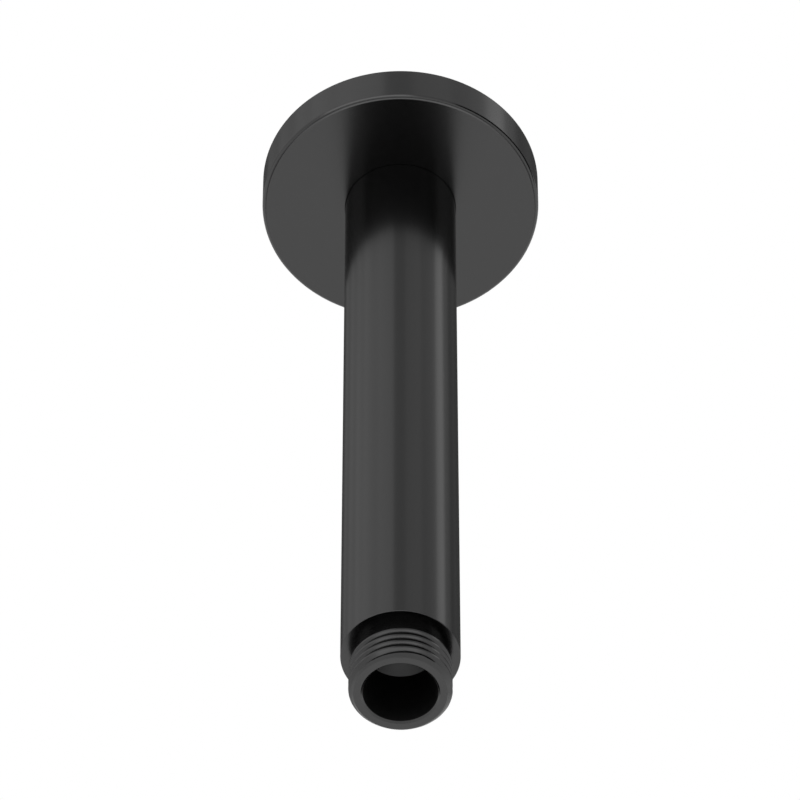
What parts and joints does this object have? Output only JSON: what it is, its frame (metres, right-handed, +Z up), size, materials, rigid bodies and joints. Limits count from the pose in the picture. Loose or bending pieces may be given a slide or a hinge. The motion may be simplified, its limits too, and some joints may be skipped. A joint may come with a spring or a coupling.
{
  "type": "shower arm",
  "caption": "Straight round shower arm that hangs from a ceiling, satin black, with a sliding round cover flange, a male thread at each end and a waterway right through.",
  "frame": {"origin": "centre of the cover flange's ceiling face, on the arm's axis", "axes": "+Z up along the arm's axis into the ceiling; the arm hangs down along -Z to its outlet"},
  "size_m": [0.06, 0.06, 0.1862],
  "materials": {
    "satin_black": "satin black coating over brass",
    "ring_rubber": "matt black nitrile rubber"
  },
  "bodies": {
    "arm": {"arm_body": "satin_black"},
    "flange": {"ceiling_flange": "satin_black", "flange_grip_ring": "ring_rubber"}
  },
  "joints": [
    {"name": "flange_slide", "type": "slide", "parent": "arm", "child": "flange", "axis": [0, 0, 1], "range_m": [-0.15, 0]}
  ]
}
